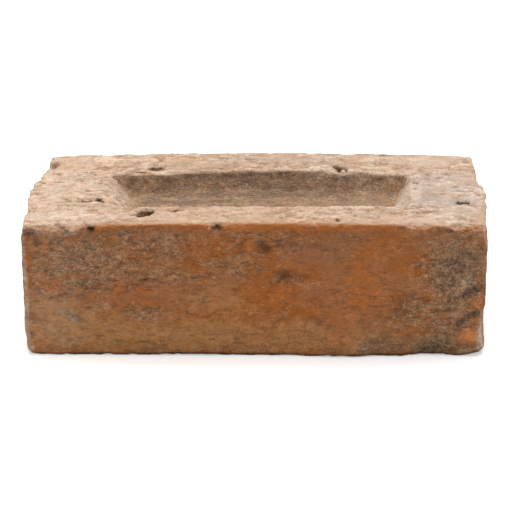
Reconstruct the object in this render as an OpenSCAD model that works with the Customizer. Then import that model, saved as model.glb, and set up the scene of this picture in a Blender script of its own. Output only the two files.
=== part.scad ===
// Hand-finished clay brick, one fired piece, lying on its plain bed face with the frog upward.
// The origin is the centre of the bottom bed face. X runs along the length, and Z is up.

/* [Brick] */
// Length of the brick, along X
brick_length = 215; // [190:0.5:290]
// Width of the brick, along Y
brick_width = 102.5; // [90:0.5:140]
// Height from the bottom bed face to the top one
brick_height = 65; // [40:0.5:80]
// Radius of the four upright arrises
corner_radius = 3; // [1:0.1:8]
// Radius of the arrises round the two bed faces
arris_radius = 2; // [0.5:0.1:6]

/* [Frog] */
// Length of the frog at its mouth
frog_length = 149; // [100:0.5:160]
// Width of the frog at its mouth
frog_width = 49; // [30:0.5:60]
// Depth of the frog below the top bed face
frog_depth = 9; // [6:0.25:20]
// How far each end wall leans in from mouth to floor
frog_end_run = 10; // [2:0.25:16]
// How far each side wall leans in from mouth to floor
frog_side_run = 4; // [1:0.25:8]
// Fillet between the frog's walls and its floor
frog_fillet = 3; // [0.5:0.25:4]
// Round-over of the frog's lip
frog_lip = 1.5; // [0.5:0.25:3]

/* [Wear] */
// Length of the longest chip, along the top arris of the right end
chip_length = 36; // [10:1:60]
// Depth of that chip below the sharp arris
chip_depth = 2.6; // [1.6:0.1:4]
// Mouth radius of the largest pit, on the front rim beside the frog
pit_radius = 4; // [1.5:0.1:6]
// Depth of that pit
pit_depth = 3; // [0.5:0.1:5]

/* [Hidden] */
$fn = 48;

half_length = brick_length / 2;
half_width = brick_width / 2;
// Width of the flat rim on each long side of the frog
rim_width = half_width - frog_width / 2;
// How far the frog's cutting form stands above the bed face
overshoot = 1;
// Straight steps in each fillet of the frog's section
fillet_steps = 8;

// Worn places along the arrises: [point on the sharp arris, way out of the brick, length, depth].
chips = [
    [[half_length, 0.55 * half_width, brick_height], [1, 0, 1], chip_length, chip_depth],
    [[half_length - 32, -half_width, brick_height], [0, -1, 1], 14, 2.2],
    [[-half_length + 20, -half_width, brick_height], [0, -1, 1], 40, 2],
    [[half_length, -half_width, 11], [1, -1, 0], 16, 2.8],
    [[-half_length, -half_width, 0], [-1, -1, -1], 12, 3.2],
    [[half_length, -half_width, 0], [1, -1, -1], 15, 4],
    [[-half_length, half_width, brick_height], [-1, 1, 1], 20, 5],
];

// Pits in the top bed face: [middle of the pit's mouth, mouth radius, depth].
pits = [
    [[-52, -half_width + 0.67 * rim_width], pit_radius, pit_depth],
    [[40.5, half_width - 0.75 * rim_width], 2.8, 2.4],
    [[half_length - 10, -14.5], 2.2, 1.6],
];

// Radius of a ball whose cap has a mouth of this radius and this depth.
function ball_radius(mouth, depth) = (mouth * mouth + depth * depth) / (2 * depth);

// Distance from a corner to where a fillet meets its sides, when one side leans from the vertical.
function fillet_setback(radius, lean) = radius / tan((90 + lean) / 2);

// Points of an arc about a centre, from one angle to another.
function arc(centre, radius, from, to) = [
    for (step = [0 : fillet_steps])
        let (angle = from + (to - from) * step / fillet_steps)
            centre + radius * [cos(angle), sin(angle)]
];

// Right half of the frog's section, from the top middle round to the floor's middle.
function frog_half(mouth, run) =
    let (
        lean = atan(run / frog_depth),
        lip_x = mouth / 2 + fillet_setback(frog_lip, lean),
        floor_x = mouth / 2 - run - fillet_setback(frog_fillet, lean)
    )
    concat(
        [[lip_x, overshoot]],
        arc([lip_x, -frog_lip], frog_lip, 90, 180 - lean),
        arc([floor_x, frog_fillet - frog_depth], frog_fillet, -lean, -90)
    );

function mirrored(points) = [for (i = [len(points) - 1 : -1 : 0]) [-points[i].x, points[i].y]];

module frog_section(mouth, run) {
    half = frog_half(mouth, run);
    polygon(concat(half, mirrored(half)));
}

// The frog as a solid: its long section and its cross section, each drawn through the other.
module frog() {
    translate([0, 0, brick_height])
        intersection() {
            rotate([90, 0, 0])
                linear_extrude(brick_width, center = true)
                    frog_section(frog_length, frog_end_run);
            rotate([90, 0, 90])
                linear_extrude(brick_length, center = true)
                    frog_section(frog_width, frog_side_run);
        }
}

module rounded_rectangle(x, y, radius) {
    square([x - 2 * radius, y], center = true);
    square([x, y - 2 * radius], center = true);
    for (side = [-1, 1], end = [-1, 1])
        translate([side * (x / 2 - radius), end * (y / 2 - radius)])
            circle(radius);
}

// The block with all its arrises rounded: its plan, front and end outlines, each drawn through the others.
module block() {
    intersection() {
        linear_extrude(brick_height)
            rounded_rectangle(brick_length, brick_width, corner_radius);
        translate([0, 0, brick_height / 2])
            rotate([90, 0, 0])
                linear_extrude(brick_width, center = true)
                    rounded_rectangle(brick_length, brick_height, arris_radius);
        translate([0, 0, brick_height / 2])
            rotate([90, 0, 90])
                linear_extrude(brick_length, center = true)
                    rounded_rectangle(brick_width, brick_height, arris_radius);
    }
}

// A shallow scoop out of an arris or a corner.
module chip(place, outward, length, depth) {
    radius = ball_radius(length / 2, depth);
    translate(place + outward / norm(outward) * (radius - depth))
        sphere(radius);
}

// A round-bottomed hollow in the top bed face.
module pit(place, mouth, depth) {
    radius = ball_radius(mouth, depth);
    translate([place.x, place.y, brick_height + radius - depth])
        sphere(radius);
}

module brick() {
    color("sienna")
        difference() {
            block();
            frog();
            for (c = chips)
                chip(c[0], c[1], c[2], c[3]);
            for (p = pits)
                pit(p[0], p[1], p[2]);
        }
}

brick();
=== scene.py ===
"""Looks of the clay brick: one fired body with its frog, wear, pits and stains, on a pale floor."""

from functools import cached_property
from math import cos, radians, sin
from typing import NamedTuple

import bpy
import numpy as np
from mathutils import Matrix, Vector, noise


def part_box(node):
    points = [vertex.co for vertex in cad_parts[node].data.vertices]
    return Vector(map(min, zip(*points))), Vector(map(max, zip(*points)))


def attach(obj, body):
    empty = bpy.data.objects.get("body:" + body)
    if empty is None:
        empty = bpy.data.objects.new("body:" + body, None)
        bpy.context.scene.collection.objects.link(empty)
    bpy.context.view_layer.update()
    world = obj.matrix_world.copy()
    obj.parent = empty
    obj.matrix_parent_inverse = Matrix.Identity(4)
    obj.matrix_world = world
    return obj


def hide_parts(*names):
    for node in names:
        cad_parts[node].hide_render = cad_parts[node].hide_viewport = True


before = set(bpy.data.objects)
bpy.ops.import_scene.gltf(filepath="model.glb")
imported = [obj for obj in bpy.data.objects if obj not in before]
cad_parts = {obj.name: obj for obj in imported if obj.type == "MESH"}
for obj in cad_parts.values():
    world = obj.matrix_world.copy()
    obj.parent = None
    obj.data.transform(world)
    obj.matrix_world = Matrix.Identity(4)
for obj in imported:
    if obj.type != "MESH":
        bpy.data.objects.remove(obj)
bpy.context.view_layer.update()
brick_low, brick_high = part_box("brick")

# Sizes and places below are in millimetres, in the CAD frame.
MM = 0.001
LENGTH, WIDTH, HEIGHT = (brick_high - brick_low) / MM

# Camera, fitted to the corners of the brick in the photograph.
PHOTO_SIDE = 510
FOCAL_PIXELS = 2027
CAMERA_DISTANCE = 996
CAMERA_TARGET = Vector((-1.6, 0, 30.9))
CAMERA_AZIMUTH = radians(2.74)
CAMERA_ELEVATION = radians(21.47)
CAMERA_ROLL = radians(-0.92)
SENSOR_WIDTH = 36

# Light, where a level of 1 shows white as white.
SKY_LEVEL = 0.56
LAMP_WATTS = 11.3
LAMP_SIDE = 900
LAMP_PLACE = Vector((20, 180, 1100))
FLOOR_SIDE = 9000
# The floor's glow for the camera beside the brick, clear of it and far off, and where it rises; the lower
# glow beside the brick paints a soft shadow around it.
FLOOR_GLOW_NEAR = 0.342
FLOOR_GLOW_CLEAR = 0.42
FLOOR_GLOW_FAR = 0.65
FLOOR_NEAR_REACH = (78, 122)
FLOOR_FAR_REACH = (122, 350)

# Colours, as linear light
CLAY_BROWN = (0.49, 0.197, 0.08)
CLAY_ORANGE = (0.50, 0.161, 0.036)
CLAY_TAN = (0.575, 0.278, 0.118)
CLAY_DARK = (0.21, 0.10, 0.05)
EMBER = (0.60, 0.188, 0.048)
FRESH = (0.84, 0.31, 0.105)
OCHRE = (0.60, 0.288, 0.109)
ASH_PALE = (0.62, 0.388, 0.224)
ASH_DARK = (0.28, 0.17, 0.10)
HAIR_DARK = (0.13, 0.085, 0.056)
MOSS_PALE = (0.55, 0.36, 0.19)
MOSS_DARK = (0.28, 0.182, 0.096)
SOOT = (0.07, 0.05, 0.038)
# Chalk, and painted light on the frog's end walls and the right front corner
CHALK_AND_PAINTED_LIGHT = (0.87, 0.68, 0.53)
# Painted shade along the foot, where the brick meets the floor
FOOT_SHADE_COLOUR = (0.06, 0.042, 0.031)
BED_CREAM = (0.72, 0.51, 0.36)
BED_PINK = (0.69, 0.45, 0.31)
BED_GREY = (0.645, 0.52, 0.435)
BED_PALE = (0.84, 0.59, 0.422)
BED_EMBER = (0.74, 0.38, 0.21)
BED_SHADE = (0.41, 0.242, 0.142)
BED_LIGHT = (0.90, 0.71, 0.55)
BED_PEACH = (0.78, 0.49, 0.32)
BED_DUSK = (0.56, 0.40, 0.285)
FROG_PALE = (0.66, 0.415, 0.245)
FROG_DARK = (0.37, 0.238, 0.148)
FROG_RUST = (0.62, 0.335, 0.168)
FROG_GREY = (0.47, 0.36, 0.275)
# Stains in the frog, and the colour of the painted shade there
FROG_STAIN_AND_SHADE = (0.16, 0.105, 0.07)
ARRIS_ORANGE = (0.66, 0.28, 0.125)
HOLLOW_DARK = (0.10, 0.046, 0.016)
FLOOR_PALE = (0.86, 0.86, 0.855)
WHITE = (1, 1, 1)
# Shine and finest bumps of the clay
CLAY_SHINE = 0.15
BUMP_DEPTH = 3

# Noise: how far apart the fields of two seeds lie, and how finer lumps follow from coarse ones.
FIELD_SHIFT = 31.7
NODE_FIELD_SHIFT = (7.3, 3.1, 5.7)
LUMP_FADE = 1
LUMP_STEP = 2
# Middle of a noise node's values, and ranges over which patterns go from one colour to another.
NODE_NOISE_MIDDLE = 0.5
HUE_RANGE = (0.42, 0.58)
SPECK_RANGE = (0.40, 0.59)
SPECKLE_RANGE = (0.38, 0.62)

# Body: how far the top is crowned, and how far the foot spreads at each end and lies to the left.
CROWN = 1.9
FLARE = 0.25
LEAN = 0.85
# Arrises: their least and largest radius, and how far broad and fine patches of wear add to it.
ARRIS_RADIUS = 1
ARRIS_RADIUS_LIMIT = 9
BROAD_WEAR, BROAD_WEAR_SIZE = 2, 22
FINE_WEAR, FINE_WEAR_SIZE, FINE_WEAR_START = 4, 6, 0.2
# Spacing of the mesh's lines along each axis, and in bands at the arrises and on the frog's walls.
LENGTH_STEP = 1.15
WIDTH_STEP = 1.2
HEIGHT_STEP = 0.75
FINE_STEP = 0.6
EDGE_BAND = 4.5
FROG_WALL_MARGIN = 1.5
# Flat map of the faces: width of one ruled stretch along each axis, and the gap between two faces.
MAP_STEPS = np.array([LENGTH_STEP, WIDTH_STEP, HEIGHT_STEP])
MAP_GAP = 4

# How far each end stands out along its top arris, by the place across the width, and below it.
END_EDGES = {
    -1: (
        (-51, 0), (-40, 0.3), (-22, 1.4), (-10, 2.8), (0, 3.4), (12, 2.8), (15, 0.4), (26, 0.2),
        (31, -0.8), (36, -1.2), (44, -0.9), (51, 0.3),
    ),
    1: ((-51, 0), (-25, 1.5), (0, 2.5), (5, 2), (10, 0), (20, -0.5), (40, -0.6), (51, -0.5)),
}
END_SWELL = {-1: 0.6, 1: 1.2}
END_REACH = 30
END_TOP_BAND = (HEIGHT - 9, HEIGHT - 1)
END_RAGGED, END_RAGGED_SIZE = 0.7, 6
# How far each end stands out further along its front arris, by the height.
END_FRONTS = {
    -1: ((0, -0.9), (7, -0.5), (12, 0)),
    1: ((8, 0), (12, -0.7), (23, -1), (25.5, 0)),
}
END_FRONT_REACH = 15
# How far the front face stands out at its foot, by the place along the length.
FRONT_FOOT = (
    (-107, 0.5), (-95, 0.5), (-68, 0.3), (-40, 0.5), (-9, 0.2), (20, 0.4), (38, 2.4), (50, 2.2),
    (60, 0.4), (70, 0.9), (79, -1.8), (88, -0.9), (98, 0.4), (107, 0.6),
)
FOOT_HEIGHT = 12
FOOT_REACH = 20

# How much rounder the brick is at its worn corners, each named by the signs of its place.
CORNER_WEAR = {
    (1, -1, -1): 5, (-1, -1, -1): 2.5, (-1, 1, 1): 0.2, (1, 1, 1): 1,
    (-1, 1, -1): 3, (1, 1, -1): 2, (1, -1, 1): 2,
}
CORNER_REACH = 9

# Frog
FROG_LENGTH = 148
FROG_WIDTH = 52.5
FROG_OFFSET = -2.2
FROG_DEPTH = 9
FROG_SIDE_RUN = 4
FROG_SOFTNESS = 0.06
FROG_WANDER, FROG_WANDER_SIZE = 1.2, 14
FROG_FRONT_BOW = 2
# How far in the frog's back rim lies, by the place along the length.
FROG_BACK_RIM = (
    (-74, 4.8), (-64, 5), (-58, 4.2), (-51, 5.2), (-44, 4.6), (-38, 3.8), (-32, 2.4), (-25, 2.8),
    (-13, 0.4), (0, 0.2), (8, -1.2), (14, -1.4), (18, 0), (24, -0.8), (30, 0), (36, 2.6), (41, 4.6),
    (45, 3), (50, 0), (54, 1.6), (58, 4), (66, 4), (74, 6),
)
# How far each end wall leans in at the back of the frog, and how much more per millimetre forward.
FROG_LEFT_RUN, FROG_LEFT_SKEW = 7.5, 0.2
FROG_RIGHT_RUN, FROG_RIGHT_SKEW = 4.4, 0.1
# Shares of the way down a wall: the lip, the mitre with the end wall and the painted shade under the back
# lip.
LIP_SHARE = 0.15
MITRE_SHARES = (-0.2, 0.15)
LIP_SHADE_SHARES = (0.7, 0.25)
LIP_SHADE_PATCHES, LIP_SHADE_SIZE = (-0.8, 0.2), 7
LIP_SHADE_STRENGTH = 0.7

# Chips: how rough their surface is, and the size of its lumps.
CHIP_ROUGH, CHIP_LUMP = 0.5, 6
CHIP_MARGIN = 1
# Hollows and marks, stains and painted light and shade among them: how soft and how rough the edge is, and
# what counts as the face that they are on.
HOLLOW_SOFT, HOLLOW_ROUGH = 0.35, 0.42
MARK_EDGE_SOFT, MARK_EDGE_ROUGH = 0.7, 0.3
EDGE_LUMP = 3
WIDEST_REACH = 2
LEAST_FACING = 0.3
LINE_BREAKS, LINE_BREAK_SIZE = (-0.35, 0.2), 9
HOLLOW_SHADE_DEPTH = 0.9

# Where the top's pale skin, the orange arris and the upright arrises' chalk begin, and where the painted
# shade along the foot begins.
BED_FACING = (0.45, 0.8)
BED_RAGGED, BED_RAGGED_SIZE = 0.3, 4
BED_END_REACH = 0.3
ARRIS_FACING = (0.1, 0.4)
UPRIGHT_FACING = (0.2, 0.6)
UPRIGHT_CHALK = 0.3
UPRIGHT_PATCHES, UPRIGHT_PATCH_SIZE = (-0.2, 0.4), 11
FOOT_SHADE_HEIGHTS = (2.3, 0.8)
FOOT_SHADE_FACING = (-0.99, -0.9)

# Relief: how strong each kind is, and the size of its lumps.
SWELL, SWELL_SIZE = 0.35, 55
TORN, TORN_SIZE, TORN_STRETCH = 0.2, 3.2, (1.6, 1, 1)
LAYERS, LAYERS_SIZE, LAYERS_STRETCH = 0.1, 14, (2.5, 1, 1)
LAYER_STEPS = 3
LAYER_SLOPE = (0.25, 0.75)
BED_TORN, BED_LAYERS = 0.16, 0.14
FROG_ROUGH, FROG_ROUGH_SIZE = 0.3, 7
RIDGE_MIDDLE, RIDGE_TORN, RIDGE_LAYERS = 0.5, 0.6, 0.3


class Mark(NamedTuple):
    """A hollow, stain or patch of painted light or shade on one face: its middle, half sizes, turn in degrees
    and how strong it is.
    """
    across: float
    along: float
    half_across: float
    half_along: float
    turn: float = 0
    strength: float = 1

    def reach(self, across, along):
        """How far out each place lies: 0 in the middle and 1 on the edge."""
        across = across - self.across
        along = along - self.along
        turn = radians(self.turn)
        u = (across * cos(turn) + along * sin(turn)) / self.half_across
        v = (along * cos(turn) - across * sin(turn)) / self.half_along
        return np.hypot(u, v)


class Line(NamedTuple):
    """A crease, scratch or streak on one face, some of them painted light or shade: the places on its way,
    half its width and how strong it is.
    """
    places: tuple
    half_width: float = 0.7
    strength: float = 1

    def reach(self, across, along):
        """How far out each place lies: 0 on the line and 1 on its edge."""
        here = np.stack([across, along], axis=1)
        places = np.array(self.places, float)
        nearest = np.full(len(here), np.inf)
        for start, stop in zip(places, places[1:]):
            way = stop - start
            share = np.clip((here - start) @ way / (way @ way), 0, 1)
            nearest = np.minimum(nearest, np.linalg.norm(here - start - share[:, None] * way, axis=1))
        return nearest / self.half_width


# Each face's two axes, its outward axis and the sign of that axis
FACES = {
    "top": (0, 1, 2, 1),
    "bottom": (0, 1, 2, -1),
    "front": (0, 2, 1, -1),
    "back": (0, 2, 1, 1),
    "left": (1, 2, 0, -1),
    "right": (1, 2, 0, 1),
}

# Worn places along the arrises: point on the sharp arris, way out of the brick, length and depth.
CHIPS = [
    ((LENGTH / 2 - 32, -WIDTH / 2, HEIGHT), (0, -1, 1), 14, 2),
    ((LENGTH / 2 - 12, -WIDTH / 2, HEIGHT), (0, -1, 1), 9, 1.6),
    ((-LENGTH / 2 + 20, -WIDTH / 2, HEIGHT), (0, -1, 1), 40, 2),
    ((-15, -WIDTH / 2, HEIGHT + CROWN), (0, -1, 1), 10, 2.2),
    ((LENGTH / 2, -WIDTH / 2, 11), (1, -1, 0), 16, 2.8),
    ((LENGTH / 2, -WIDTH / 2, 27), (1, -1, 0), 8, 1.8),
    ((-70, -WIDTH / 2, 0), (0, -1, -1), 6, 1),
    ((-42, -WIDTH / 2, 0), (0, -1, -1), 8, 1),
    ((38, WIDTH / 2, 0), (0, 1, -1), 14, 2.4),
    ((-61, WIDTH / 2, HEIGHT), (0, 1, 1), 9, 2),
    ((-LENGTH / 2, 22, 0), (-1, 0, -1), 18, 3),
]

# Hollows, with their depth as strength, and a stone that stands up in one of them.
HOLLOWS = {
    "top": [
        Mark(-52.4, -36, 3.8, 4.2, -10, 1.5),
        Mark(-49.6, -33.4, 2.4, 2.6, 20, 3.6),
        Mark(-51.8, -38.4, 2.6, 2.2, 0, 2.8),
        Mark(-56.6, -37.4, 2, 2.2, 0, 0.8),
        Mark(-36, -32.5, 3, 1.8, 10, 1.3),
        Mark(-74.8, -15.8, 2.2, 3.2, 20, 3),
        Mark(-81.6, -17.4, 3.6, 2.3, 0, 2.4),
        Mark(-89.6, -17, 2.6, 1.5, 0, 0.7),
        Mark(41, 24.6, 2.7, 4.8, 0, 2.6),
        Mark(38.4, 29.8, 2.3, 2.6, 30, 1.4),
        Mark(41.6, 24, 1.3, 2.1, 0, -2.4),
        Mark(98.2, -18.8, 3.3, 2.4, -10, 2.2),
        Mark(95.4, -13, 1, 1.2, 0, 0.9),
        Mark(83.2, 21.5, 1.4, 1.6, 0, 0.7),
        Mark(71.2, 23.6, 1.2, 1.6, 0, 0.8),
        Mark(88.8, -7.9, 1.6, 1.4, 0, 0.4),
        Mark(76.4, 8.4, 1.4, 2.2, 20, 1.4),
        Mark(76.3, -0.3, 1.2, 2, 0, 1.3),
        Mark(81, -33, 2.4, 1.6, 0, 0.6),
        Mark(86, -33.8, 1.8, 1.4, 0, 0.5),
        Mark(103.7, 41.6, 2.6, 2.4, 0, 0.7),
        Mark(12.5, -42, 1.5, 1.6, 20, 1),
        Mark(39.3, -46, 1.3, 2.2, 15, 1.2),
        Mark(47, -40, 1.4, 1, 0, 0.6),
        Mark(57.9, -41.6, 1.2, 1.6, 0, 0.7),
        Mark(-51.8, 27.2, 3.8, 3, 10, 1.5),
        Mark(-59.4, 22.4, 3, 1.8, 0, 1.1),
        Mark(-73.1, 21.7, 3, 1, 0, 0.6),
        Mark(-19.5, 27.5, 2, 1.6, 0, 0.7),
        Mark(-103.9, 36.8, 2.2, 4.8, 0, 0.9),
        Mark(-98.9, 20.8, 1.8, 2.2, 0, 0.5),
        Line(((-106, -8), (-97, -11), (-89, -16), (-79, -17)), 0.9, 0.7),
        Line(((-99, -23), (-88, -24), (-80, -22)), 0.8, 0.6),
        Line(((-76, -29), (-66, -28), (-58, -30)), 0.8, 0.6),
        Line(((-46, -27), (-42, -30), (-37, -34)), 0.9, 0.7),
        Line(((76.6, -22.8), (80, -22), (86, -23.5)), 0.7, 0.7),
        Line(((100, -20), (102.5, -22), (104.7, -26)), 0.7, 0.9),
        Line(((48, -30), (57, -32), (68, -30)), 0.8, 0.5),
        Line(((73, -6), (77.5, 7)), 0.8, 0.8),
    ],
    "front": [
        Mark(5.2, 54.6, 3.2, 2.3, -25, 0.65),
        Mark(14.8, 40.8, 3, 2.2, 0, 0.55),
        Mark(-75.2, 63.8, 1.7, 1.5, -35, 2.4),
        Mark(-16.8, 64.2, 2, 1.9, 0, 1),
        Mark(-51, 38.6, 2.8, 0.8, 5, 0.7),
        Mark(-67.5, 33.5, 1.8, 1, -30, 0.6),
        Line(((-93, 66.5), (-89, 64), (-86, 62)), 1, 1),
        Line(((-54, 49.3), (-50, 49), (-47, 49.6)), 0.6, 0.5),
        Line(((-33, 20.8), (-30, 20.4), (-27, 20.8)), 0.7, 0.6),
        Line(((-34, 27.6), (-30, 27.3), (-27, 27.6)), 0.6, 0.5),
        Line(((-66, 7.5), (-58, 6.4), (-52, 7), (-47, 5.5), (-42, 5)), 0.6, 0.4),
        Line(((-34, 12), (-22, 10.5), (-12, 11.5), (2, 10.5)), 0.6, 0.3),
        Line(((8, 9), (20, 8), (34, 9)), 0.6, 0.3),
        Line(((-106, 18.5), (-101, 17.5), (-96, 17.6)), 0.7, 0.6),
        Line(((-105, 37), (-102, 33.5), (-99, 31.5)), 0.9, 0.4),
        Line(((-97, 28.5), (-93, 30), (-88, 31.5)), 0.7, 0.5),
        Line(((-81, 34.6), (-76, 34), (-70, 34.4)), 0.6, 0.5),
        Line(((42, 44.3), (46, 44.6), (50, 44.2)), 0.6, 0.5),
        Line(((83, 34), (89, 34.2)), 0.6, 0.4),
    ],
    "back": [
        Mark(-38, 40, 3, 2.2, 10, 1.4),
        Mark(62, 22, 2.4, 1.8, -20, 1.1),
        Mark(20, 56, 1.6, 1.3, 0, 1),
        Line(((-90, 21), (-78, 18), (-66, 19.5)), 0.8, 0.7),
        Line(((10, 34), (24, 32.5), (40, 33.5)), 0.8, 0.6),
        Line(((70, 47), (84, 45.5)), 0.8, 0.6),
    ],
    "left": [
        Mark(14, 24, 2.4, 1.8, 10, 1.1),
        Mark(-22, 46, 1.8, 1.4, 0, 0.9),
        Line(((-34, 20), (-20, 18), (-6, 19)), 0.8, 0.7),
    ],
    "right": [
        Mark(-12, 40, 2.6, 2, -10, 1.2),
        Mark(27, 17, 1.6, 1.4, 0, 0.9),
        Line(((4, 27), (18, 25.5), (34, 27)), 0.8, 0.7),
    ],
    "bottom": [
        Mark(-58, 14, 4, 3, 20, 1.4),
        Mark(31, -20, 3, 2.4, -15, 1.2),
        Mark(74, 26, 2.2, 2, 0, 1),
        Line(((-30, -6), (-8, -9), (16, -7)), 0.9, 0.7),
    ],
}
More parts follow.
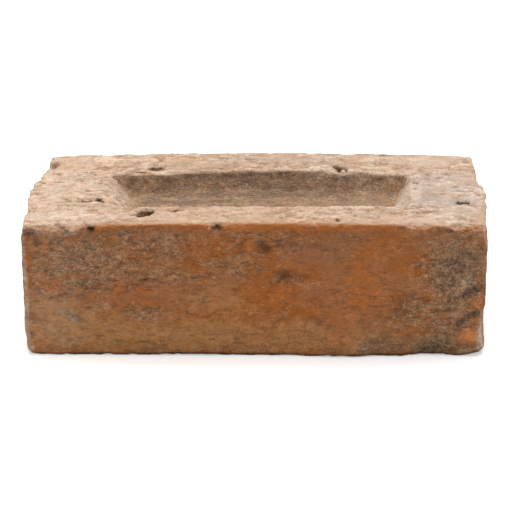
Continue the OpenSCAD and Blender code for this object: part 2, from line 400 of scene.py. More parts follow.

# Stains, and patches of painted light and shade, by the mask that they go into and the face that they are on
SURFACE_MARKS = {
    ("bed", "front"): [
        Mark(-97, 66, 11, 1.6, -2, 0.9),
        Mark(-85, 64.6, 7, 2, -8, 0.65),
        Mark(-17, 66.5, 3.4, 1.8, 0, 0.7),
        Mark(-20.2, 65, 1.2, 2.8, 10, 0.55),
        Mark(76, 65.4, 5, 2, 0, 0.9),
        Mark(93.5, 65, 5, 1.8, 0, 0.9),
        # Pale base at the right front corner: a chip, partly painted light
        Mark(107.5, 10.5, 2, 8, 0, 0.8),
    ],
    ("soot_and_painted_shade", "top"): [
        Mark(14, 17, 7, 5, 0, 0.75),
        Mark(-5, 14, 9, 3, 0, 0.65),
        Mark(-26, 20, 6, 3, 0, 0.5),
        Mark(14, 39, 42, 9, 0, 0.2),
        Mark(-40, 31, 9, 5, 0, 0.32),
        Mark(40, 30, 8, 5, 0, 0.32),
        Mark(-22, 42, 11, 6, 0, 0.14),
        Mark(-85, 16, 8, 7, 0, 0.26),
        Mark(83.5, -10, 5, 5, 0, 0.26),
        Mark(83.5, 10, 5, 5, 0, 0.24),
        # Painted shade on the frog's floor, darkest along the foot of its back wall
        Mark(0, 13.2, 58, 5, 0, 0.7),
        Mark(0, 4, 62, 8, 0, 0.3),
        Mark(-66, 17, 5, 4, 0, 0.3),
        Mark(40, 49.4, 9, 2.4, 0, 0.6),
        Mark(58.2, 49.4, 6, 2.2, 0, 0.6),
        Mark(18, 50.2, 12, 1.4, 0, 0.35),
        Mark(-40, 50.2, 16, 1.4, 0, 0.3),
        Line(((-39.5, 10), (-37.5, 0)), 0.6, 0.5),
        Line(((66, -18), (72.5, 4)), 0.8, 0.3),
        Line(((70, -18), (76.5, 4)), 0.8, 0.35),
    ],
    ("soot_and_painted_shade", "front"): [
        Mark(94, 46, 9, 6, 15, 0.55),
        Mark(89, 35, 4, 1.6, 5, 0.6),
        Mark(100.5, 32.5, 6, 2, 32, 1),
        Mark(93, 28.5, 5, 2, 15, 0.6),
        Mark(89, 23.5, 4.5, 1.4, 5, 0.55),
        Mark(103.5, 22, 2.6, 1.8, 20, 0.95),
        Mark(97.5, 18, 5.5, 1.6, 35, 0.8),
        Mark(85, 3, 8.5, 4, 12, 0.74),
        Mark(80.5, 3.5, 3.5, 2.6, 35, 0.7),
        Mark(95, 8, 4, 3, 30, 0.35),
        Mark(57, 6, 7, 3.5, 10, 0.24),
        Mark(67, 4.5, 6, 2.5, 5, 0.22),
        Mark(80, 60, 9, 5, 0, 0.15),
        Mark(32, 56, 18, 9, 0, 0.13),
        Mark(-80, 60.5, 9, 4, 0, 0.28),
        Mark(38, 3, 6, 1.6, 0, 0.5),
        Mark(-48, 4, 6, 1.8, 0, 0.35),
        Mark(-101, 58.5, 2, 2.2, 0, 0.55),
        Mark(-103.5, 63.5, 4.5, 3.6, 0, 0.85),
        Mark(-84.5, 19.3, 5, 1, -28, 0.5),
        Mark(-105, 20, 3, 1.6, 0, 0.4),
        Mark(-105.5, 11, 1.6, 2, 0, 0.6),
        Mark(5.2, 54.6, 3.8, 2.8, -25, 0.55),
        Mark(14.8, 40.8, 3.6, 2.8, 0, 0.45),
        Mark(19.5, 40.5, 1.8, 1.2, 0, 0.35),
        Mark(14, 57, 6, 4, 0, 0.3),
        Mark(30, 55.5, 5, 2, 0, 0.3),
        Mark(-6.3, 55.8, 2, 1.6, 0, 0.55),
        Mark(-4.8, 52.6, 1.5, 1.1, 0, 0.5),
        Mark(-22, 41, 2, 1.4, 0, 0.4),
        Mark(-40, 64, 18, 2, 0, 0.2),
        Mark(-78, 54, 5, 4, 0, 0.2),
        Mark(-57, 36, 3, 3, 0, 0.2),
        Mark(-38, 51, 3, 3, 0, 0.2),
        Mark(70, 25, 6, 6, 0, 0.3),
        Line(((-105, 37), (-102, 33.5), (-98, 30), (-95, 29.5)), 1.2, 0.3),
        Line(((-97, 28.5), (-93, 30), (-88, 31.5)), 0.7, 0.4),
        Line(((-81, 34.6), (-76, 34), (-70, 34.4), (-66, 33)), 0.7, 0.3),
        Line(((-66, 7.5), (-58, 6.4), (-52, 7), (-47, 5.5), (-42, 5)), 0.5, 0.4),
        Line(((-34, 12), (-22, 10.5), (-12, 11.5), (2, 10.5)), 0.4, 0.35),
        Line(((8, 9), (20, 8), (34, 9)), 0.4, 0.35),
    ],
    ("soot_and_painted_shade", "back"): [
        Mark(-80, 48, 14, 8, 15, 0.5),
        Mark(40, 12, 16, 5, 5, 0.5),
    ],
    ("soot_and_painted_shade", "right"): [Mark(-38, 30, 10, 16, 10, 0.55)],
    ("soot_and_painted_shade", "bottom"): [Mark(-70, -24, 20, 12, 15, 0.45)],
    ("ember", "top"): [
        Mark(10, 46, 9, 4, 0, 0.5),
        Mark(38.4, -37, 5, 3.4, 0, 0.7),
        Mark(-98.9, 20.8, 1.8, 2.2, 0, 0.6),
        Mark(-40, -33, 6, 3, 0, 0.5),
        Mark(-20, -43, 13, 5, 0, 0.4),
        Mark(0, -47.5, 90, 4, 0, 0.5),
        Mark(63, -4, 4, 10, 0, 0.6),
        Mark(38, 21, 5, 3, 0, 0.6),
        Mark(69, 14, 4, 8, 0, 0.5),
        Mark(-54, 19, 5, 4, 0, 0.6),
    ],
    ("ember", "front"): [
        Mark(105.5, 42, 1, 4, 0, 0.6),
        Mark(105, 17.5, 1.6, 2.4, 0, 0.8),
        Mark(89, 19.5, 3, 1.8, 0, 0.6),
        Mark(72, 12.5, 9, 2.4, 14, 0.55),
        Mark(-105.5, 48, 2.2, 4, 0, 0.7),
        Mark(-95.5, 55.5, 3.2, 2, 0, 0.6),
        Mark(-84, 58.3, 3.6, 1.4, -5, 0.75),
        Mark(-93.5, 35.5, 4.4, 2.8, 0, 0.8),
        Mark(-63, 33, 3, 4, 0, 0.9),
        Mark(-52.5, 33, 4.4, 2.2, -30, 1),
        Mark(-48, 26.3, 5, 1.6, 0, 1),
        Mark(-63, 26, 4, 1.6, 0, 0.6),
        Mark(-77, 30, 2.4, 3, 0, 0.5),
        Mark(-100, 7, 7, 3.4, 0, 0.5),
        Mark(-18, 28.5, 3, 2, 0, 0.6),
        Mark(-25, 54, 4, 3, 0, 0.4),
        Mark(12, 29, 8, 4.6, 20, 0.8),
        Mark(0, 31, 10, 7, 0, 0.35),
        Mark(29, 23, 4.5, 3.5, 0, 0.5),
        Mark(37, 31, 6, 6, 0, 0.45),
        Mark(40, 18, 9, 13, 0, 0.5),
        Mark(20, 42, 12, 4, 10, 0.4),
        Mark(51, 36, 9, 14, 0, 0.75),
        Mark(55, 54, 6, 9, 0, 0.6),
        Mark(66, 36, 7, 7, 0, 0.4),
        Mark(-1.5, 58, 2.4, 7.5, 0, 0.75),
        Mark(2, 65, 66, 2.2, 0, 0.9),
    ],
    ("ember", "back"): [
        Mark(-20, 26, 18, 9, 0, 0.6),
        Mark(80, 30, 12, 8, 0, 0.6),
    ],
    ("ember", "left"): [Mark(20, 40, 14, 10, 0, 0.6)],
    ("ember", "right"): [Mark(22, 36, 12, 9, 0, 0.7)],
    ("ember", "bottom"): [Mark(48, 6, 24, 16, 0, 0.5)],
    ("fresh", "front"): [
        Mark(100.5, 10.5, 5.6, 3.6, 10, 0.9),
        Mark(104, 27, 3.4, 2.8, 30, 0.9),
        Mark(-9, 66, 7, 1.8, 0, 0.5),
    ],
    ("fresh", "right"): [Mark(-40, 27, 8, 4, 20, 0.7)],
    ("ash", "top"): [
        Mark(90, -5, 20, 36, 0, 0.9),
        Mark(71, -6, 6, 18, -8, 0.6),
    ],
    ("ash", "front"): [
        Mark(-80, 47, 30, 16, 0, 0.75),
        Mark(-48, 55, 26, 8, 0, 0.6),
        Mark(-44, 42, 18, 7, 0, 0.45),
        Mark(-74, 26, 6, 6, 0, 0.4),
        Mark(-28, 40, 6, 3.5, 0, 0.45),
        Mark(15, 58, 16, 6, 0, 0.42),
        Mark(-4.5, 46, 5, 5, 0, 0.4),
        Mark(-8, 46, 19, 9, 0, 0.5),
        Mark(-52, 21, 12, 6, 0, 0.5),
        Mark(78, 22, 13, 11, 0, 0.6),
        Mark(0, 60, 14, 4, 0, 0.5),
        Mark(19, 40, 6, 4, 0, 0.5),
        Mark(52, 61, 14, 4, 0, 0.3),
        Mark(-60, 61, 8, 4, 0, 0.7),
        Mark(11, 39.5, 5, 4, 0, 0.45),
        Mark(95, 42, 16, 20, 0, 0.95),
        Mark(79, 34, 12, 14, 0, 0.35),
        Mark(72, 25, 9, 8, 0, 0.5),
        Mark(95, 20, 14, 8, 30, 0.7),
    ],
    ("ash", "back"): [
        Mark(-84, 42, 30, 20, 0, 0.6),
        Mark(50, 50, 30, 10, 0, 0.5),
    ],
    ("ash", "left"): [Mark(-28, 30, 20, 26, 0, 0.6)],
    ("ash", "right"): [Mark(-30, 34, 22, 26, 0, 0.6)],
    ("ash", "bottom"): [Mark(-40, 0, 50, 36, 0, 0.55)],
    ("moss", "front"): [
        Mark(-86, 20, 7, 2.4, -28, 0.9),
        Mark(-79, 15, 5, 2.4, -25, 0.5),
        Mark(-97, 12, 7, 1.4, -12, 0.5),
        Mark(-88, 6, 7, 3, 0, 0.5),
        Mark(-68, 7, 10, 3, 0, 0.4),
        Mark(60, 5.5, 14, 5.5, 8, 0.7),
        Mark(85, 6, 12, 6, 12, 0.95),
        Mark(84, 24, 7, 6, 30, 0.5),
        Mark(101, 3.5, 7, 3, 0, 0.85),
        Mark(14, 20, 5, 1.6, 0, 0.4),
        Mark(-8, 4, 26, 3, 0, 0.4),
        Mark(68, 4, 12, 3, 0, 0.6),
    ],
    ("ochre", "top"): [Mark(-92, 0, 26, 60, 0, 0.9)],
    ("ochre", "front"): [
        Mark(-80, 12, 32, 11, 0, 0.9),
        Mark(-30, 11, 40, 9, 0, 0.8),
        Mark(20, 9, 34, 8, 0, 0.7),
        Mark(46, 8, 7, 9, 0, 0.8),
        Mark(-18, 27, 15, 9, 0, 0.6),
        Mark(-4, 20, 16, 5, 0, 0.4),
        Mark(-97, 24, 12, 8, 0, 0.6),
        Mark(63, 16, 5, 2.6, 20, 0.6),
    ],
    ("ochre", "back"): [Mark(0, 10, 70, 9, 0, 0.6)],
    ("ochre", "left"): [Mark(0, 10, 40, 9, 0, 0.6)],
    ("ochre", "right"): [Mark(10, 9, 36, 8, 0, 0.6)],
    ("chalk_and_painted_light", "top"): [
        Mark(41.6, 24, 1.2, 2, 0, 1),
        # Painted light on the frog's left end wall
        Mark(-66, -4, 5, 18, 12, 0.3),
        # Painted light on the frog's right end wall
        Mark(71, -6, 4.5, 15, -14, 0.95),
        Mark(75.5, -9, 3.5, 12, -10, 0.8),
        Mark(44, 22.5, 18, 3.5, 0, 0.2),
        # Painted light on the frog's right end wall
        Mark(69.5, -8, 1.6, 14, -14, 0.7),
        Mark(74, -6, 1.2, 12, -16, 0.6),
        Mark(66.5, 38.6, 4, 4, -20, 0.35),
        Mark(81, 39, 11, 10, 0, 0.6),
        Mark(-60, 38, 8, 5, 0, 0.4),
        Mark(-98, -1, 7, 6, 0, 0.7),
        Mark(99, -28, 6, 5, 0, 0.35),
        Mark(-90, -27, 9, 5, 0, 0.3),
        # Painted light on the frog's right end wall, in pale streaks
        Line(((64.5, -18), (71, 4)), 0.8, 0.8),
        Line(((68, -18), (74.5, 4)), 0.8, 0.9),
        Line(((72, -17), (78, 2)), 0.8, 0.8),
    ],
    ("chalk_and_painted_light", "front"): [
        Mark(-94, 63.2, 12, 2.4, -3, 0.32),
        Mark(-96, 20, 13, 16, 0, 0.15),
        Mark(-107, 5, 1.8, 5, 15, 0.6),
        Mark(-107.5, 32, 1.4, 30, 0, 0.45),
        # A pale chip at the right front corner, partly painted light where the corner turns from the light
        Mark(107.5, 10.5, 2.6, 9, 0, 0.95),
        Mark(98.5, 37, 3, 2.4, 0, 0.3),
        Mark(-70.5, 25.5, 1.6, 2, 30, 0.24),
        Mark(-40.5, 48.5, 0.6, 0.6, 0, 0.4),
        Mark(-60, 62.5, 0.6, 0.6, 0, 0.4),
        Mark(25.5, 14.5, 0.7, 0.6, 0, 0.45),
        Mark(80.5, 17.5, 0.7, 0.7, 0, 0.3),
        Mark(57, 16.5, 0.6, 0.6, 0, 0.45),
        Mark(-63, 20.5, 0.7, 0.6, 0, 0.35),
        Line(((73, 45.5), (77, 47), (80, 50)), 0.5, 0.4),
        Line(((-104, 41), (-101.5, 36.5)), 0.6, 0.4),
        Line(((-100, 33), (-97, 31)), 0.6, 0.4),
        Mark(-17.2, 62.8, 0.9, 0.9, 0, 0.45),
        Line(((46, 67), (46, 65), (47.5, 64)), 0.5, 0.8),
        Line(((48, 67), (48.6, 65)), 0.5, 0.8),
    ],
    # The right front corner from the end: a pale chip, partly painted light
    ("chalk_and_painted_light", "right"): [Mark(-51, 10.5, 3, 9, 0, 0.7)],
}
MASKS = ("frog", "arris", "hollow", "ridge", "foot_shade", *dict.fromkeys(name for name, face in SURFACE_MARKS))


def smoothstep(value, start, stop):
    """0 before start, 1 past stop, and a smooth rise between them."""
    share = np.clip((value - start) / (stop - start), 0, 1)
    return share * share * (3 - 2 * share)


def wander(points, size, seed, octaves=2, stretch=(1, 1, 1)):
    """Smooth noise, from about -1 to 1, whose lumps are about this size."""
    scaled = points / (size * np.array(stretch)) + seed * FIELD_SHIFT
    return np.array([noise.fractal(place, LUMP_FADE, LUMP_STEP, octaves) for place in scaled.tolist()])


def terraced(value, count):
    """The value in so many steps for each 1 that it rises, with a short slope between two steps."""
    scaled = value * count
    base = np.floor(scaled)
    return (base + smoothstep(scaled - base, *LAYER_SLOPE)) / count


def soft_ramp(share):
    """Rises from 0 to 1 as share does, with its two corners rounded."""
    def bend(value):
        return FROG_SOFTNESS * np.logaddexp(0, value / FROG_SOFTNESS)
    return bend(share) - bend(share - 1)


def soft_least(first, second):
    """The smaller of two shares, with the corner between them rounded."""
    return -FROG_SOFTNESS * np.logaddexp(-first / FROG_SOFTNESS, -second / FROG_SOFTNESS)


def ruled(places, steps):
    """Lines from the first place to the last, with a step for each stretch between two places."""
    stretches = []
    for start, stop, step in zip(places, places[1:], steps):
        count = max(1, round((stop - start) / step))
        stretches.append(np.linspace(start, stop, count, endpoint=False))
    return np.concatenate(stretches + [places[-1:]])


def brick_lines():
    """The lines of the box along each axis, closer at the arrises and on the frog's long walls."""
    half_length, half_width = LENGTH / 2, WIDTH / 2
    wall_top = FROG_WIDTH / 2 + FROG_WALL_MARGIN
    wall_foot = FROG_WIDTH / 2 - FROG_SIDE_RUN - FROG_WALL_MARGIN
    walls = [FROG_OFFSET + place for place in (-wall_top, -wall_foot, wall_foot, wall_top)]
    return (
        ruled(
            [-half_length, EDGE_BAND - half_length, half_length - EDGE_BAND, half_length],
            [FINE_STEP, LENGTH_STEP, FINE_STEP],
        ),
        ruled(
            [-half_width, EDGE_BAND - half_width, *walls, half_width - EDGE_BAND, half_width],
            [FINE_STEP, WIDTH_STEP, FINE_STEP, WIDTH_STEP, FINE_STEP, WIDTH_STEP, FINE_STEP],
        ),
        ruled([0, EDGE_BAND, HEIGHT - EDGE_BAND, HEIGHT], [FINE_STEP, HEIGHT_STEP, FINE_STEP]),
    )


def map_layout(length, width, height):
    """Place of each face in the flat map, the ends beside a column of long faces, and the map's side."""
    origins = {}
    column = MAP_GAP
    for face, rise in (((2, 0), width), ((2, -1), width), ((1, 0), height), ((1, -1), height)):
        origins[face] = (MAP_GAP, column)
        column += rise + MAP_GAP
    beside = length + 2 * MAP_GAP
    origins[0, 0] = (beside, MAP_GAP)
    origins[0, -1] = (beside, height + 2 * MAP_GAP)
    return origins, max(column, beside + width + MAP_GAP)


def lattice(lines):
    """A closed box ruled along the lines of each axis: its points, outward quads and flat map."""
    shell = np.zeros([len(axis_lines) for axis_lines in lines], bool)
    for axis in range(3):
        np.moveaxis(shell, axis, 0)[[0, -1]] = True
    number = np.cumsum(shell).reshape(shell.shape) - 1
    places = np.nonzero(shell)
    points = np.stack([axis_lines[place] for axis_lines, place in zip(lines, places)], axis=1)
    sizes = MAP_STEPS * (np.array(shell.shape) - 1)
    origins, map_side = map_layout(*sizes)
    quads, flat_map = [], []
    for axis in range(3):
        for end in (0, -1):
            side = np.take(number, end, axis=axis)
            across, along = [part for part in range(3) if part != axis]
            flat = np.moveaxis(np.indices(side.shape), 0, -1) * MAP_STEPS[[across, along]]
            corners = [np.s_[:-1, :-1], np.s_[1:, :-1], np.s_[1:, 1:], np.s_[:-1, 1:]]
            if (end == 0) != (axis == 1):
                corners.reverse()
                flat[..., 0] = sizes[across] - flat[..., 0]
            flat = (flat + origins[axis, end]) / map_side
            quads.append(np.stack([side[corner] for corner in corners], axis=-1).reshape(-1, 4))
            flat_map.append(np.stack([flat[corner] for corner in corners], axis=2).reshape(-1, 2))
    return points, np.concatenate(quads), np.concatenate(flat_map)


def rounded(points):
    """Rounds the box's arrises, more where they are worn. Returns the points and their outward directions."""
    middle = np.array([0, 0, HEIGHT / 2])
    half = np.array([LENGTH, WIDTH, HEIGHT]) / 2
    broad = np.maximum(wander(points, BROAD_WEAR_SIZE, seed=1, octaves=3), 0)
    fine = np.maximum(wander(points, FINE_WEAR_SIZE, seed=2) - FINE_WEAR_START, 0)
    worn = BROAD_WEAR * broad + FINE_WEAR * fine
    for corner, wear in CORNER_WEAR.items():
        distance = np.linalg.norm(points - middle - half * corner, axis=1)
        worn += wear * np.exp(-(distance / CORNER_REACH) ** 2)
    radius = np.minimum(ARRIS_RADIUS + worn, ARRIS_RADIUS_LIMIT)[:, None]
    core = np.clip(points - middle, radius - half, half - radius)
    outward = points - middle - core
    outward /= np.linalg.norm(outward, axis=1, keepdims=True)
    return middle + core + radius * outward, outward


def face_masks(points, facing):
    """All masks, with those filled in that follow from a point's height and the way it faces."""
    masks = {name: np.zeros(len(points)) for name in MASKS}
    endwise, sidewise = abs(facing[:, :2]).T
    upward = facing[:, 2]
    ragged = BED_RAGGED * wander(points, BED_RAGGED_SIZE, seed=14)
    masks["bed"] = smoothstep(upward * (1 + endwise) + BED_END_REACH * endwise + ragged, *BED_FACING)
    masks["arris"] = smoothstep(np.minimum(sidewise, upward), *ARRIS_FACING)
    patchy = smoothstep(wander(points, UPRIGHT_PATCH_SIZE, seed=15), *UPRIGHT_PATCHES)
    masks["chalk_and_painted_light"] = UPRIGHT_CHALK * patchy * smoothstep(np.minimum(endwise, sidewise), *UPRIGHT_FACING)
    # Painted shade: the lowest band of the foot is darkened like a contact shadow.
    masks["foot_shade"] = smoothstep(points[:, 2], *FOOT_SHADE_HEIGHTS) * smoothstep(upward, *FOOT_SHADE_FACING)
    return masks


def frog_shares(x, y):
    """How far down the end wall and the side wall each place lies: 0 at the mouth and 1 at the foot."""
    forward = np.maximum(FROG_OFFSET + FROG_WIDTH / 2 - y, 0)
    left = FROG_LEFT_RUN + FROG_LEFT_SKEW * forward
    right = FROG_RIGHT_RUN + FROG_RIGHT_SKEW * forward
    front_bow = FROG_FRONT_BOW * (2 * x / FROG_LENGTH) ** 2
    bow = np.where(y > FROG_OFFSET, np.interp(x, *zip(*FROG_BACK_RIM)), front_bow)
    end = (FROG_LENGTH / 2 - abs(x)) / np.where(x < 0, left, right)
    side = (FROG_WIDTH / 2 - bow - abs(y - FROG_OFFSET)) / FROG_SIDE_RUN
    past_foot = 2
    return np.minimum(end, past_foot), np.minimum(side, past_foot)


def frog_drop(x, y):
    """Depth of the frog below the top bed face."""
    return FROG_DEPTH * soft_ramp(soft_least(*frog_shares(x, y)))


def sink_frog(points, outward, on_top):
    """Sinks the frog into the top. Returns masks of its floor and long walls, and of painted shade under its
    back lip.
    """
    shift = [wander(points[on_top], FROG_WANDER_SIZE, seed=seed) for seed in (3, 4)]
    x, y = points[on_top, :2].T + FROG_WANDER * np.stack(shift)
    drop = frog_drop(x, y)
    probe = 0.1
    slope_x = (frog_drop(x + probe, y) - drop) / probe
    slope_y = (frog_drop(x, y + probe) - drop) / probe
    points[on_top, 2] -= drop
    outward[on_top] += np.stack([slope_x, slope_y, np.zeros(len(x))], axis=1)
    outward[on_top] /= np.linalg.norm(outward[on_top], axis=1, keepdims=True)
    end, side = frog_shares(x, y)
    past_lip = smoothstep(side, 0, LIP_SHARE)
    inside = np.zeros(len(points))
    inside[on_top] = past_lip * smoothstep(end - np.minimum(side, 1), *MITRE_SHARES)
    lip_shade = np.zeros(len(points))
    # Painted shade under the back lip
    lip_shade[on_top] = past_lip * smoothstep(side, *LIP_SHADE_SHARES) * (y > FROG_OFFSET)
    patchy = smoothstep(wander(points, LIP_SHADE_SIZE, seed=16), *LIP_SHADE_PATCHES)
    return inside, inside * lip_shade * patchy


def bend_body(points):
    """Crowns the top, lets the ends stand out as they do in the photograph and spreads the foot."""
    x, y, z = points.T
    share = 2 * x / LENGTH
    near_top = smoothstep(z, *END_TOP_BAND)
    near_front = smoothstep(-y, WIDTH / 2 - END_FRONT_REACH, WIDTH / 2)
    ragged = END_RAGGED * wander(points, END_RAGGED_SIZE, seed=12)
    for side, edge in END_EDGES.items():
        stand = near_top * (np.interp(y, *zip(*edge)) + ragged) + (1 - near_top) * END_SWELL[side]
        stand += near_front * np.interp(z, *zip(*END_FRONTS[side]))
        points[:, 0] += side * stand * smoothstep(side * x, LENGTH / 2 - END_REACH, LENGTH / 2)
    foot = smoothstep(z, FOOT_HEIGHT, 0) * smoothstep(-y, WIDTH / 2 - FOOT_REACH, WIDTH / 2)
    points[:, 1] -= foot * np.interp(x, *zip(*FRONT_FOOT))
    points[:, 0] += (FLARE * share - LEAN) * (1 - z / HEIGHT)
    points[:, 2] *= 1 + CROWN * (1 - share ** 2) / HEIGHT


def scoop_chip(points, place, way_out, length, depth):
    """Pushes the points that lie in a ball beside the arris back to the ball's surface."""
    radius = (length * length / 4 + depth * depth) / (2 * depth)
    way_out = np.array(way_out) / np.linalg.norm(way_out)
    away = points - (np.array(place) + way_out * (radius - depth))
    distance = np.linalg.norm(away, axis=1)
    inside = np.nonzero(distance < radius + CHIP_MARGIN)[0]
    rough = radius + CHIP_ROUGH * wander(points[inside], CHIP_LUMP, seed=5, octaves=3)
    push = np.maximum(rough / distance[inside], 1)
    points[inside] += away[inside] * (push - 1)[:, None]


def form_share(points, facing, face, form, soft, rough):
    """How much of a mark or line each point has: 1 inside it and 0 outside, with an uneven edge."""
    first, second, normal, sign = FACES[face]
    reach = form.reach(points[:, first], points[:, second])
    near = np.nonzero((reach < WIDEST_REACH) & (facing[:, normal] * sign > LEAST_FACING))[0]
    uneven = reach[near] + rough * wander(points[near], EDGE_LUMP, seed=6)
    share = np.zeros(len(points))
    share[near] = 1 - smoothstep(uneven, 1 - soft, 1 + soft)
    if isinstance(form, Line):
        share[near] *= smoothstep(wander(points[near], LINE_BREAK_SIZE, seed=13), *LINE_BREAKS)
    return share


def hollow_depth(points, facing):
    """Depth of the hollows at each point."""
    depth = np.zeros(len(points))
    for face, hollows in HOLLOWS.items():
        for hollow in hollows:
            share = form_share(points, facing, face, hollow, HOLLOW_SOFT, HOLLOW_ROUGH)
            if hollow.strength > 0:
                depth = np.maximum(depth, hollow.strength * share)
            else:
                depth += hollow.strength * share
    return depth


def add_surface_marks(points, facing, masks):
    """Adds the stains, and the painted light and shade, to their masks."""
    for (name, face), stains in SURFACE_MARKS.items():
        for stain in stains:
            share = stain.strength * form_share(points, facing, face, stain, MARK_EDGE_SOFT, MARK_EDGE_ROUGH)
            masks[name] = np.maximum(masks[name], share)


def surface_relief(points, masks):
    """Height of the torn and layered surface, and the mask of its ridges."""
    torn = wander(points, TORN_SIZE, seed=8, octaves=4, stretch=TORN_STRETCH)
    layers = terraced(wander(points, LAYERS_SIZE, seed=9, octaves=3, stretch=LAYERS_STRETCH), LAYER_STEPS)
    relief = SWELL * wander(points, SWELL_SIZE, seed=7)
    relief += TORN * torn + LAYERS * layers
    relief += masks["bed"] * (BED_TORN * torn + BED_LAYERS * layers)
    relief += masks["frog"] * FROG_ROUGH * wander(points, FROG_ROUGH_SIZE, seed=11)
    return relief, np.clip(RIDGE_MIDDLE + RIDGE_TORN * torn + RIDGE_LAYERS * layers, 0, 1)


def brick_shape(points):
    """Turns the points of a plain box into the brick. Returns its points and its masks."""
    on_top = points[:, 2] == HEIGHT
    points, outward = rounded(points)
    facing = outward.copy()
    masks = face_masks(points, facing)
    masks["frog"], lip_shade = sink_frog(points, outward, on_top)
    # The painted shade under the frog's back lip goes into the soot mask.
    masks["soot_and_painted_shade"] = LIP_SHADE_STRENGTH * lip_shade
    bend_body(points)
    for chip in CHIPS:
        scoop_chip(points, *chip)
    depth = hollow_depth(points, facing)
    # Painted shade in the hollows: the deeper, the darker
    masks["hollow"] = 1 - np.exp(-np.maximum(depth, 0) / HOLLOW_SHADE_DEPTH)
    add_surface_marks(points, facing, masks)
    relief, masks["ridge"] = surface_relief(points, masks)
    points += outward * (relief - depth)[:, None]
    points[:, 2] = np.maximum(points[:, 2], 0)
    return points, masks


class Graph:
    """A short way to write a material or world: most methods add nodes and return their output."""
    # Places of the colour sockets among those of a mix node
    MIX_FIRST, MIX_SECOND, MIX_RESULT = 6, 7, 2

    def __init__(self, owner):
        owner.use_nodes = True
        self.nodes = owner.node_tree.nodes
        self.links = owner.node_tree.links

    @cached_property
    def place(self):
        """Where each point lies on the object, in metres."""
        return self.nodes.new("ShaderNodeTexCoord").outputs["Object"]

    def feed(self, socket, value):
        """Links an output to a socket, or sets the socket to a plain value."""
        if isinstance(value, bpy.types.NodeSocket):
            self.links.new(value, socket)
        elif socket.type == "RGBA":
            socket.default_value = (*value, 1)
        else:
            socket.default_value = value

    def mask(self, name):
        """One of the mesh's masks."""
        node = self.nodes.new("ShaderNodeAttribute")
        node.attribute_name = name
        return node.outputs["Fac"]

    def noise(self, size, detail, seed, stretch=(1, 1, 1), roughness=0.5, swirl=0):
        """Noise from 0 to 1, whose lumps are about this size in millimetres."""
        mapping = self.nodes.new("ShaderNodeMapping")
        self.feed(mapping.inputs["Location"], [seed * shift for shift in NODE_FIELD_SHIFT])
        self.feed(mapping.inputs["Scale"], [1 / (size * MM * part) for part in stretch])
        self.feed(mapping.inputs["Vector"], self.place)
        node = self.nodes.new("ShaderNodeTexNoise")
        self.feed(node.inputs["Scale"], 1)
        self.feed(node.inputs["Detail"], detail)
        self.feed(node.inputs["Roughness"], roughness)
        self.feed(node.inputs["Distortion"], swirl)
        self.feed(node.inputs["Vector"], mapping.outputs["Vector"])
        return node.outputs["Fac"]

    def ramp(self, value, start, stop, low=0, high=1):
        """Goes smoothly from low to high as value goes from start to stop."""
        node = self.nodes.new("ShaderNodeMapRange")
        node.interpolation_type = "SMOOTHSTEP"
        names = ("Value", "From Min", "From Max", "To Min", "To Max")
        for name, setting in zip(names, (value, start, stop, low, high)):
            self.feed(node.inputs[name], setting)
        return node.outputs["Result"]

    def math(self, operation, first, second=0):
        """The outcome of one operation on one or two numbers."""
        node = self.nodes.new("ShaderNodeMath")
        node.operation = operation
        self.feed(node.inputs[0], first)
        self.feed(node.inputs[1], second)
        return node.outputs["Value"]

    def plus(self, first, second):
        return self.math("ADD", first, second)

    def times(self, first, second):
        return self.math("MULTIPLY", first, second)

    def mix(self, share, first, second, blend="MIX"):
        """The first colour with this share of the second."""
        node = self.nodes.new("ShaderNodeMix")
        node.data_type = "RGBA"
        node.blend_type = blend
        self.feed(node.inputs["Factor"], share)
        self.feed(node.inputs[self.MIX_FIRST], first)
        self.feed(node.inputs[self.MIX_SECOND], second)
        return node.outputs[self.MIX_RESULT]

    def layered(self, colour, layers):
        """A colour with others laid over it in turn, each by its share."""
        for share, over in layers:
            colour = self.mix(share, colour, over)
        return colour

    def thin_lines(self, pattern, outer, inner):
        """Lines where a pattern is near its middle: 0 at the outer distance from it and 1 at the inner."""
        distance = self.math("ABSOLUTE", self.math("SUBTRACT", pattern, NODE_NOISE_MIDDLE))
        return self.ramp(distance, outer, inner)

    def seen_directly(self):
        """1 for light that the camera sees, directly or by a mirror or glass, and 0 for the rest."""
        path = self.nodes.new("ShaderNodeLightPath")
        other = self.math("MAXIMUM", path.outputs["Is Glossy Ray"], path.outputs["Is Transmission Ray"])
        return self.math("MAXIMUM", path.outputs["Is Camera Ray"], other)


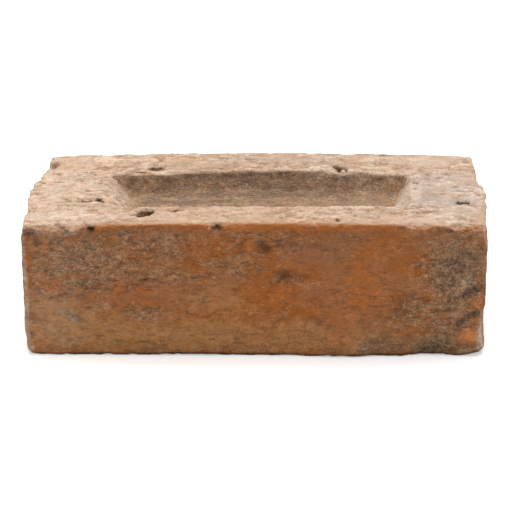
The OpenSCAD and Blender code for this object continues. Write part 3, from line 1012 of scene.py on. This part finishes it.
class Clay(Graph):
    """The fired clay: the noise patterns that its colours share, and the colour of each kind of face."""

    def __init__(self, material):
        super().__init__(material)
        self.hue = self.noise(26, 4, seed=1, stretch=(1.6, 1, 1), roughness=0.6)
        self.tone = self.noise(5, 4, seed=2, stretch=(1.5, 1, 1), roughness=0.95, swirl=0.3)
        self.drag = self.noise(3, 4, seed=3, stretch=(1.6, 1, 1), roughness=0.8)
        self.fleck = self.noise(1.6, 3, seed=5, stretch=(1.2, 1, 1), roughness=0.8)
        self.grit = self.noise(1.5, 3, seed=7, stretch=(1, 1.6, 1), roughness=0.8)
        self.streak = self.noise(1.3, 3, seed=11, stretch=(3.4, 1.7, 1), roughness=0.75, swirl=0.4)
        self.blotch = self.noise(7, 1, seed=10, stretch=(2.2, 1, 1))
        self.busy = self.ramp(self.noise(18, 1, seed=14, stretch=(1.6, 1, 1)), 0.40, 0.56, 0.5, 1.1)
        grain = self.noise(0.9, 2, seed=9, roughness=0.7)
        self.speck = self.times(self.plus(self.fleck, grain), 0.5)
        vein = self.noise(6, 2, seed=4, stretch=(5, 1, 1), swirl=0.5)
        self.furrow = self.times(self.thin_lines(vein, 0.016, 0.004), self.ramp(self.drag, 0.45, 0.58))

    def broken(self, name, pattern, weight, start, stop, most=1):
        """A mask whose edge is broken up by a pattern of this weight."""
        rough = self.times(self.math("SUBTRACT", pattern, NODE_NOISE_MIDDLE), weight)
        return self.ramp(self.plus(self.mask(name), rough), start, stop, high=most)

    def speckled(self, name, pattern, low, high):
        """A mask times a share that goes from low to high as a pattern rises."""
        return self.times(self.mask(name), self.ramp(pattern, *SPECKLE_RANGE, low, high))

    def hairlines(self):
        """Fine lines that cross each other, broken up by the drag pattern."""
        lines = []
        for seed in (8, 12):
            pattern = self.noise(4, 2, seed=seed, stretch=(2.6, 1, 1), swirl=1)
            lines.append(self.thin_lines(pattern, 0.035, 0.012))
        return self.times(self.math("MAXIMUM", *lines), self.ramp(self.drag, 0.42, 0.55))

    def side_colour(self):
        """Colour of the front, the back, the ends and the bottom."""
        ground = self.mix(self.ramp(self.hue, *HUE_RANGE), CLAY_BROWN, CLAY_ORANGE)
        ash = self.mix(self.ramp(self.speck, *SPECK_RANGE), ASH_DARK, ASH_PALE)
        moss = self.mix(self.ramp(self.speck, *SPECK_RANGE), MOSS_DARK, MOSS_PALE)
        dull = self.math("MAXIMUM", self.mask("ash"), self.times(self.mask("moss"), 0.4))
        dash = self.ramp(self.noise(2.2, 2, seed=13, stretch=(2.6, 1, 1), roughness=0.6), 0.41, 0.34)
        sand = self.ramp(self.noise(1.1, 0, seed=6), 0.74, 0.86)
        return self.layered(ground, (
            (self.broken("ochre", self.tone, 2, 0, 1), OCHRE),
            (self.ramp(self.tone, 0.52, 0.66, high=0.22), CLAY_TAN),
            (self.ramp(self.tone, 0.48, 0.34, high=0.22), CLAY_DARK),
            (self.ramp(self.streak, 0.54, 0.68, high=0.22), CLAY_TAN),
            (self.ramp(self.streak, 0.46, 0.32, high=0.3), CLAY_DARK),
            (self.broken("ash", self.tone, 2.5, 0.15, 1, most=0.85), ash),
            (self.broken("moss", self.tone, 2.5, 0.15, 1, most=0.9), moss),
            (self.broken("ember", self.tone, 2, 0.1, 1, most=0.9), EMBER),
            (self.broken("fresh", self.tone, 2, 0.1, 1, most=0.9), FRESH),
            (self.speckled("soot_and_painted_shade", self.speck, 1.25, 0.4), SOOT),
            # Painted shade in the furrows, which the bumps also cut as grooves
            (self.times(self.furrow, 0.45), CLAY_DARK),
            (self.times(dash, 0.36), HAIR_DARK),
            (self.times(self.hairlines(), self.ramp(dull, 0, 0.6, 0.16, 0.68)), HAIR_DARK),
            (self.times(sand, self.ramp(self.mask("ash"), 0, 0.6, 0.12, 0.35)), CHALK_AND_PAINTED_LIGHT),
        ))

    def frog_colour(self):
        """Colour of the frog's floor and long walls."""
        ground = self.mix(self.ramp(self.grit, 0.40, 0.61), FROG_DARK, FROG_PALE)
        return self.layered(ground, (
            (self.ramp(self.blotch, 0.53, 0.33, high=0.5), FROG_STAIN_AND_SHADE),
            (self.ramp(self.tone, 0.49, 0.38, high=0.5), FROG_STAIN_AND_SHADE),
            (self.ramp(self.drag, 0.52, 0.64, high=0.6), FROG_RUST),
            (self.ramp(self.drag, 0.48, 0.36, high=0.6), FROG_GREY),
            (self.broken("ember", self.tone, 3, 0.2, 0.9, most=0.25), EMBER),
        ))

    def bed_colour(self):
        """Colour of the top bed face, with its frog."""
        ground = self.mix(self.ramp(self.hue, *HUE_RANGE), BED_CREAM, BED_PINK)
        # The height follows the relief's ridges with grit and streak noise: ridges painted lighter and low
        # places darker, painted light and shade that follow the relief.
        height = self.plus(self.times(self.mask("ridge"), 0.4), self.times(self.grit, 0.7))
        height = self.plus(height, self.times(self.streak, 0.5))
        return self.layered(ground, (
            (self.broken("ash", self.tone, 2, 0.1, 0.9), BED_GREY),
            (self.broken("ochre", self.tone, 2, 0.1, 0.9), BED_PALE),
            (self.broken("ember", self.tone, 3, 0.2, 0.9, most=0.7), BED_EMBER),
            (self.ramp(self.blotch, 0.53, 0.70, high=0.55), BED_PEACH),
            (self.ramp(self.drag, 0.53, 0.66, high=0.35), BED_PEACH),
            (self.ramp(self.blotch, 0.47, 0.30, high=0.45), BED_DUSK),
            (self.times(self.ramp(height, 0.79, 0.61, high=0.8), self.busy), BED_SHADE),
            (self.times(self.ramp(height, 0.80, 0.97, high=0.9), self.busy), BED_LIGHT),
            # Painted shade in the furrows, which the bumps also cut as grooves
            (self.times(self.furrow, 0.35), BED_SHADE),
            (self.broken("frog", self.tone, 1.5, 0.2, 0.8), self.frog_colour()),
            # Soot, and painted shade under the frog's back lip and on its floor by the back wall
            (self.speckled("soot_and_painted_shade", self.fleck, 1.2, 0.6), FROG_STAIN_AND_SHADE),
        ))

    def colour(self):
        """Colour of the whole brick."""
        colour = self.layered(self.side_colour(), (
            (self.broken("bed", self.tone, 1.5, 0.35, 0.7), self.bed_colour()),
            (self.broken("arris", self.tone, 3, 0.3, 0.8, most=0.6), ARRIS_ORANGE),
            # Painted shade in the hollows, darker the deeper they are
            (self.broken("hollow", self.fleck, 1.2, 0.2, 0.85), HOLLOW_DARK),
            # Chalk, and painted light on the frog's end walls and the right front corner
            (self.speckled("chalk_and_painted_light", self.fleck, 0.4, 1.2), CHALK_AND_PAINTED_LIGHT),
            # Painted shade along the foot
            (self.speckled("foot_shade", self.tone, 1, 0.6), FOOT_SHADE_COLOUR),
        ))
        coarse_shade = self.ramp(self.tone, 0.33, 0.67, 0.9, 1.1)
        fine_shade = self.ramp(self.fleck, 0.3, 0.7, 0.89, 1.11)
        return self.mix(self.busy, colour, self.times(coarse_shade, fine_shade), "MULTIPLY")

    def bumps(self):
        """Relief that is too fine for the mesh."""
        node = self.nodes.new("ShaderNodeBump")
        height = self.plus(self.drag, self.times(self.grit, 0.5))
        height = self.math("SUBTRACT", height, self.times(self.furrow, 0.15))
        self.feed(node.inputs["Strength"], 1)
        self.feed(node.inputs["Distance"], BUMP_DEPTH * MM)
        self.feed(node.inputs["Height"], height)
        return node.outputs["Normal"]


def clay_material():
    """Rough fired clay, coloured by the mesh's masks and by noise."""
    material = bpy.data.materials.new("fired_clay")
    clay = Clay(material)
    shader = clay.nodes["Principled BSDF"]
    clay.feed(shader.inputs["Base Color"], clay.colour())
    clay.feed(shader.inputs["Roughness"], clay.ramp(clay.tone, 0.35, 0.65, 0.97, 0.84))
    clay.feed(shader.inputs["Specular IOR Level"], CLAY_SHINE)
    clay.feed(shader.inputs["Normal"], clay.bumps())
    return material


def floor_material():
    """A pale floor that the camera sees as white, apart from the brick's shadow and a soft shadow painted by
    its lower glow near the brick.
    """
    material = bpy.data.materials.new("pale_floor")
    graph = Graph(material)
    distance = graph.nodes.new("ShaderNodeVectorMath")
    distance.operation = "LENGTH"
    graph.feed(distance.inputs[0], graph.place)
    away = distance.outputs["Value"]
    near_reach, far_reach = np.array([FLOOR_NEAR_REACH, FLOOR_FAR_REACH]) * MM
    # Painted shadow: the floor glows less near the brick.
    near = graph.ramp(away, *near_reach, FLOOR_GLOW_NEAR, FLOOR_GLOW_CLEAR)
    far = graph.ramp(away, *far_reach, 0, FLOOR_GLOW_FAR - FLOOR_GLOW_CLEAR)
    shader = graph.nodes["Principled BSDF"]
    graph.feed(shader.inputs["Base Color"], FLOOR_PALE)
    graph.feed(shader.inputs["Roughness"], 1)
    graph.feed(shader.inputs["Specular IOR Level"], 0)
    graph.feed(shader.inputs["Emission Color"], WHITE)
    graph.feed(shader.inputs["Emission Strength"], graph.times(graph.plus(near, far), graph.seen_directly()))
    return material


def add_object(name, data):
    """A new object in the scene."""
    added = bpy.data.objects.new(name, data)
    bpy.context.scene.collection.objects.link(added)
    return added


def make_brick():
    points, quads, flat_map = lattice(brick_lines())
    points, masks = brick_shape(points)
    mesh = bpy.data.meshes.new("brick_body")
    mesh.from_pydata((points * MM).tolist(), [], quads.tolist())
    mesh.polygons.foreach_set("use_smooth", np.ones(len(quads), bool))
    mesh.uv_layers.new(name="OFBake").data.foreach_set("uv", flat_map.ravel())
    for name, values in masks.items():
        attribute = mesh.attributes.new(name, "FLOAT", "POINT")
        attribute.data.foreach_set("value", values.astype(np.float32))
    mesh.materials.append(clay_material())
    brick = add_object("brick_body", mesh)
    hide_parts("brick")
    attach(brick, "root")


def make_camera():
    back = Vector((
        sin(CAMERA_AZIMUTH) * cos(CAMERA_ELEVATION),
        -cos(CAMERA_AZIMUTH) * cos(CAMERA_ELEVATION),
        sin(CAMERA_ELEVATION),
    ))
    level = Vector((cos(CAMERA_AZIMUTH), sin(CAMERA_AZIMUTH), 0))
    turn = Matrix.Rotation(CAMERA_ROLL, 3, back)
    right = turn @ level
    up = turn @ back.cross(level)
    data = bpy.data.cameras.new("camera")
    data.sensor_width = SENSOR_WIDTH
    data.lens = FOCAL_PIXELS / PHOTO_SIDE * SENSOR_WIDTH
    camera = add_object("camera", data)
    pose = Matrix((right, up, back)).transposed().to_4x4()
    pose.translation = (CAMERA_TARGET + back * CAMERA_DISTANCE) * MM
    camera.matrix_world = pose
    bpy.context.scene.camera = camera


def make_floor():
    half = FLOOR_SIDE / 2 * MM
    corners = [(-half, -half, 0), (half, -half, 0), (half, half, 0), (-half, half, 0)]
    mesh = bpy.data.meshes.new("floor")
    mesh.from_pydata(corners, [], [(0, 1, 2, 3)])
    mesh.materials.append(floor_material())
    floor = add_object("floor", mesh)


def make_light():
    world = bpy.data.worlds.new("studio")
    graph = Graph(world)
    sky = graph.nodes["Background"]
    graph.feed(sky.inputs["Color"], WHITE)
    graph.feed(sky.inputs["Strength"], graph.ramp(graph.seen_directly(), 0, 1, SKY_LEVEL, 1))
    bpy.context.scene.world = world

    data = bpy.data.lights.new("softbox", "AREA")
    data.size = LAMP_SIDE * MM
    data.energy = LAMP_WATTS
    lamp = add_object("softbox", data)
    lamp.location = LAMP_PLACE * MM
    lamp.rotation_euler = LAMP_PLACE.to_track_quat("Z", "Y").to_euler()


bpy.context.scene.view_settings.view_transform = "Standard"
make_camera()
make_floor()
make_light()
make_brick()
